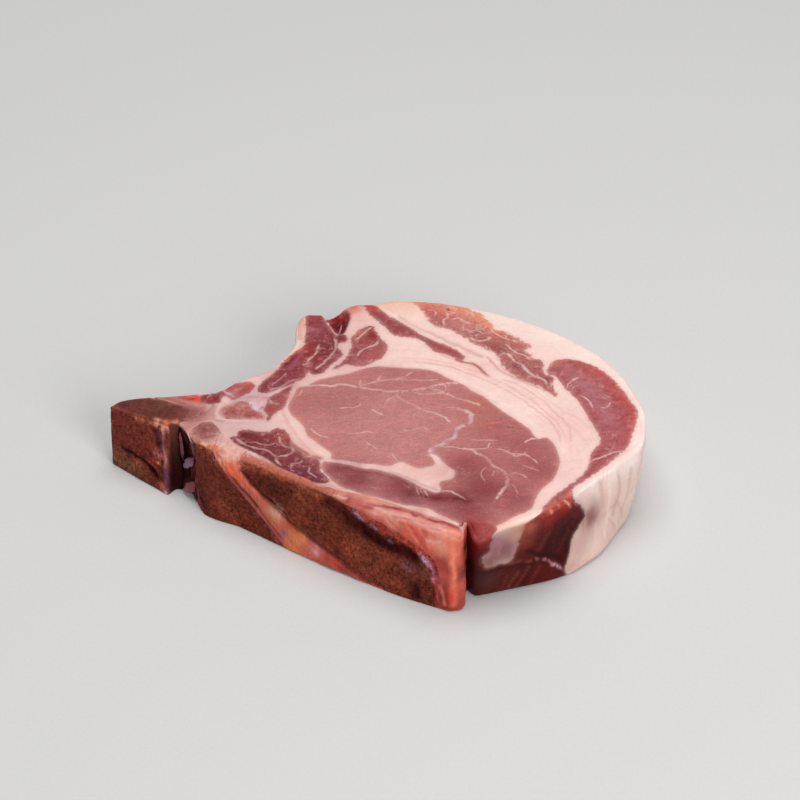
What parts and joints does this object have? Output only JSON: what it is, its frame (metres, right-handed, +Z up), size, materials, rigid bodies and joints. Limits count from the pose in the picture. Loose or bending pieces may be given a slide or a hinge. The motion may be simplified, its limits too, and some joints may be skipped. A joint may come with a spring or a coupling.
{
  "type": "raw pork chop",
  "caption": "Thick raw bone-in pork chop: pink loin eye in pale fat, darker small muscles, fat cap round the flank, and a sawn backbone with its canal along the front.",
  "frame": {"origin": "on the surface the chop lies on, under the middle of its bounding box", "axes": "+X runs along the chop from the sawn vertebra to the fat flank, +Y points from the rounded end of the sawn process towards the back fat, +Z is up through the thickness"},
  "size_m": [0.1816, 0.1343, 0.032],
  "materials": {
    "meat": "moist raw lean with pale seams of fat, satin to wet",
    "fat": "smooth raw back fat, satin",
    "bone": "sawn spongy bone full of marrow, rough and slightly moist",
    "ligament": "moist fibrous ligament, satin",
    "cartilage": "wet gristle, glossy"
  },
  "bodies": {
    "root": {"meat": "meat", "fat_cap": "fat", "vertebral_body": "bone", "lamina": "bone", "spinous_process": "bone", "ligament": "ligament", "cartilage_tip": "cartilage"}
  },
  "joints": []
}
